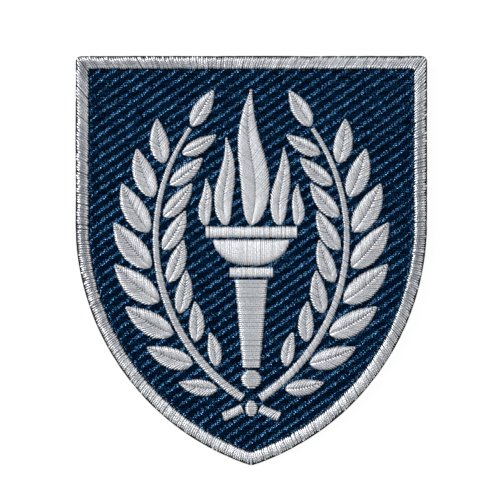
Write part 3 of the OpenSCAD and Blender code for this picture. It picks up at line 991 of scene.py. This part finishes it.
def fillStitches():
    # running stitches: each is level in the middle and dips by dip * share to a power at its ends, where
    # share grows from 0 to 1 over the last part of the stitch
    f = fill
    u = np.array(f["places"])[None, :]
    a, b, y, right = fillRows(u)
    count = len(y)
    a = a + rng.normal(0, f["endJitter"], count)
    b = b + rng.normal(0, f["endJitter"], count)
    near = np.minimum(u, 1 - u) * np.minimum(1, (b - a)[:, None] / f["stitch"]) ** -0.5
    share = np.clip(1 - near / f["dipReach"], 0, 1)
    ends = np.where(u < 0.5, rng.normal(0, 1, (count, 1)), rng.normal(0, 1, (count, 1)))
    drop = f["dip"] * np.clip(1 + f["dipJitter"] * ends, *f["dipRange"]) * share ** f["dipPower"]
    x = a[:, None] + (b - a)[:, None] * u
    z = fillTop + np.maximum(f["lift"] - drop + rng.normal(0, f["heightJitter"], (count, 1)), -f["sunk"])
    bow = rng.normal(0, f["bow"], (count, 1)) * np.sin(np.pi * u)
    paths = np.stack([x, y[:, None] + bow, z], axis=2)
    # painted highlight over each stitch's dipping ends, which makes the slanting stripes
    bright = f["stripeHighlight"] + f["endSpread"] * ends + rng.normal(0, f["stripeSpread"], share.shape)
    bright = np.clip(bright, 0, f["stripeMost"])
    # painted light: the stripes lighter towards the tip, darker towards the top
    bright = bright * (1 - f["tipPaintedLight"] * 2 * y / shield["height"])[:, None]
    tone = f["tone"] + rng.normal(0, f["toneSpread"], (count, 1))
    tone = tone + bright * np.clip(f["stripeRise"] * share, 0, 1)
    fromEdge = np.interp(y, right[:, 1], right[:, 0])[:, None] - np.abs(x)
    tone = tone + f["edgeTone"] * np.clip(1 - fromEdge / f["edgeReach"], 0, 1)
    return paths, y, tone


paths, rowY, tones = fillStitches()
levels = np.quantile(rowY, np.arange(1, fill["pieces"]) / fill["pieces"])
for i in range(fill["pieces"]):
    part = np.searchsorted(levels, rowY) == i
    points, quads, uvs, tone = threads(paths[part], fill, tones[part])
    addMesh(f"fillStitches{i + 1}", points, quads, thread["navyThread"], uvs, tone)


twill = {
    "rings": 24,
    "innermost": 0.05,  # the smallest ring's share of the whole
    "stations": (8, 60, 40, 6, 40),
    "edgeWave": 0.02,  # from point to point
    "slowWave": 0.035,
    "slowReach": 6,  # points
    "slowShare": 0.5,
    "edgeRound": 0.08,
}


def twillCloth():
    # the base cloth: smaller and smaller rings on the back and on the face, joined round a rounded edge,
    # the smallest ones filled with strips from side to side
    t = twill
    loop = outline(0.0, t["stations"])
    count = len(loop)
    slow = drifting(count, t["slowWave"], t["slowReach"])
    wave = t["slowShare"] * slow + np.minimum(rng.normal(0, t["edgeWave"], count), 0)
    way = np.roll(loop, -1, axis=0) - np.roll(loop, 1, axis=0)
    outwards = np.stack([way[:, 1], -way[:, 0]], axis=1)
    outwards /= np.linalg.norm(outwards, axis=1, keepdims=True)
    loop = loop + outwards * wave[:, None]
    outermost = 1 - t["edgeRound"] / shield["width"] * 2
    shares = np.linspace(t["innermost"], outermost, t["rings"])
    scale = np.concatenate([shares, [1, 1], shares[::-1]])
    levels = [0, t["edgeRound"], clothTop - t["edgeRound"], clothTop]
    levels = np.repeat(levels, [t["rings"], 1, 1, t["rings"]])
    rings = np.stack([np.insert(loop * share, 2, level, axis=1) for share, level in zip(scale, levels)])
    at = np.arange(len(scale) * count).reshape(len(scale), count)
    turned = np.roll(at, -1, axis=1)
    quads = np.stack([at[:-1], turned[:-1], turned[1:], at[1:]], axis=2).reshape(-1, 4)
    low = np.arange(count // 2 - 1)
    strips = np.stack([low, low + 1, count - 2 - low, count - 1 - low], axis=1)
    quads = np.concatenate([quads, strips[:, ::-1] + at[0, 0], strips + at[-1, 0]])
    return rings.reshape(-1, 3), quads


points, quads = twillCloth()
twillPiece = addMesh("twillCloth", points, quads, blackTwill, smooth=False)
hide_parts("base_cloth")

# what shows of the imported pieces between the threads; the pads' underlay is darker than their thread,
# painted shade in the gaps
underlays = {"ground_fill": thread["navyUnderlay"], "base_cloth": blackTwill}
for name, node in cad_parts.items():
    node.data.materials.clear()
    node.data.materials.append(underlays.get(name, thread["padUnderlayShade"]))


studio = {
    "floor": (0.12, 0.12, 0.12),
    "floorGlow": 0.94,
    "floorHalf": 1.5,  # metres
    "floorDrop": 0.02,  # millimetres below the patch
    "floorRoughness": 0.9,
    "worldColour": (0.86, 0.95, 1.08),
    "worldStrengths": (0.18, 0.09),  # near the horizon and overhead
    "worldHeights": (0.2, 0.9),  # between which the one passes into the other
    "away": 0.75,  # metres
    # side, height and bearing towards the top edge in degrees, width and height in metres, watts
    "lights": [(-1, 36.0, 20.0, (0.8, 0.25), 5.5), (1, 50.0, 22.0, (0.95, 0.4), 2.3)],
    "lens": 250.0,
    "sensor": 36.0,
    "span": 99.45,  # width of the view on the cloth, in millimetres
    "centre": (-0.26, 2.1),
}


def floorSheet():
    # a pale floor that gives off an even light of its own
    half, z = studio["floorHalf"], -studio["floorDrop"] * mm
    corners = [(-half, -half, z), (half, -half, z), (half, half, z), (-half, half, z)]
    mesh = bpy.data.meshes.new("floor")
    mesh.from_pydata(corners, [], [(0, 1, 2, 3)])
    material, tree, shader = nodeMaterial("paleFloor")
    setInputs(tree, shader, {
        "Base Color": (*studio["floor"], 1),
        "Roughness": studio["floorRoughness"],
        "Specular IOR Level": 0.0,
        "Emission Color": (1, 1, 1, 1),
        "Emission Strength": studio["floorGlow"],
    })
    mesh.materials.append(material)
    inScene("floor", mesh)


def softbox(name, side, height, bearing, size, watts):
    # a rectangular soft light turned to the patch, at a distance away from it: to its side by
    # cos(height) * cos(bearing), towards the top edge by cos(height) * sin(bearing), up by sin(height)
    data = bpy.data.lights.new(name, "AREA")
    data.shape = "RECTANGLE"
    data.size, data.size_y = size
    data.energy = watts
    lamp = inScene(name, data)
    up, turn = np.radians([height, bearing])
    level = studio["away"] * np.cos(up)
    place = Vector((side * level * np.cos(turn), level * np.sin(turn), studio["away"] * np.sin(up)))
    lamp.location = place
    lamp.rotation_euler = (-place).to_track_quat("-Z", "Y").to_euler()


def studioWorld():
    # a pale room with a darker ceiling: strength falls from the horizon to straight overhead
    world = bpy.data.worlds.new("paleRoom")
    world.use_nodes = True
    tree = world.node_tree
    place = addNode(tree, "TexCoord").outputs["Generated"]
    height = addNode(tree, "SeparateXYZ", {0: place}).outputs["Z"]
    ends = ("From Min", "From Max", "To Min", "To Max")
    inputs = dict(zip(ends, studio["worldHeights"] + studio["worldStrengths"]))
    fall = addNode(tree, "MapRange", {"Value": height, **inputs})
    colour = (*studio["worldColour"], 1)
    setInputs(tree, tree.nodes["Background"], {"Strength": fall.outputs["Result"], "Color": colour})
    bpy.context.scene.world = world


floorSheet()
for i, light in enumerate(studio["lights"]):
    softbox(f"softbox{i}", *light)
studioWorld()

cameraData = bpy.data.cameras.new("camera")
cameraData.lens = studio["lens"]
cameraData.sensor_width = studio["sensor"]
camera = inScene("camera", cameraData)
away = studio["span"] * mm * studio["lens"] / studio["sensor"]
camera.location = (studio["centre"][0] * mm, studio["centre"][1] * mm, away + fillTop * mm)
bpy.context.scene.camera = camera
bpy.context.scene.view_settings.view_transform = "Standard"
bpy.context.scene.view_settings.look = "None"
print("studio set")
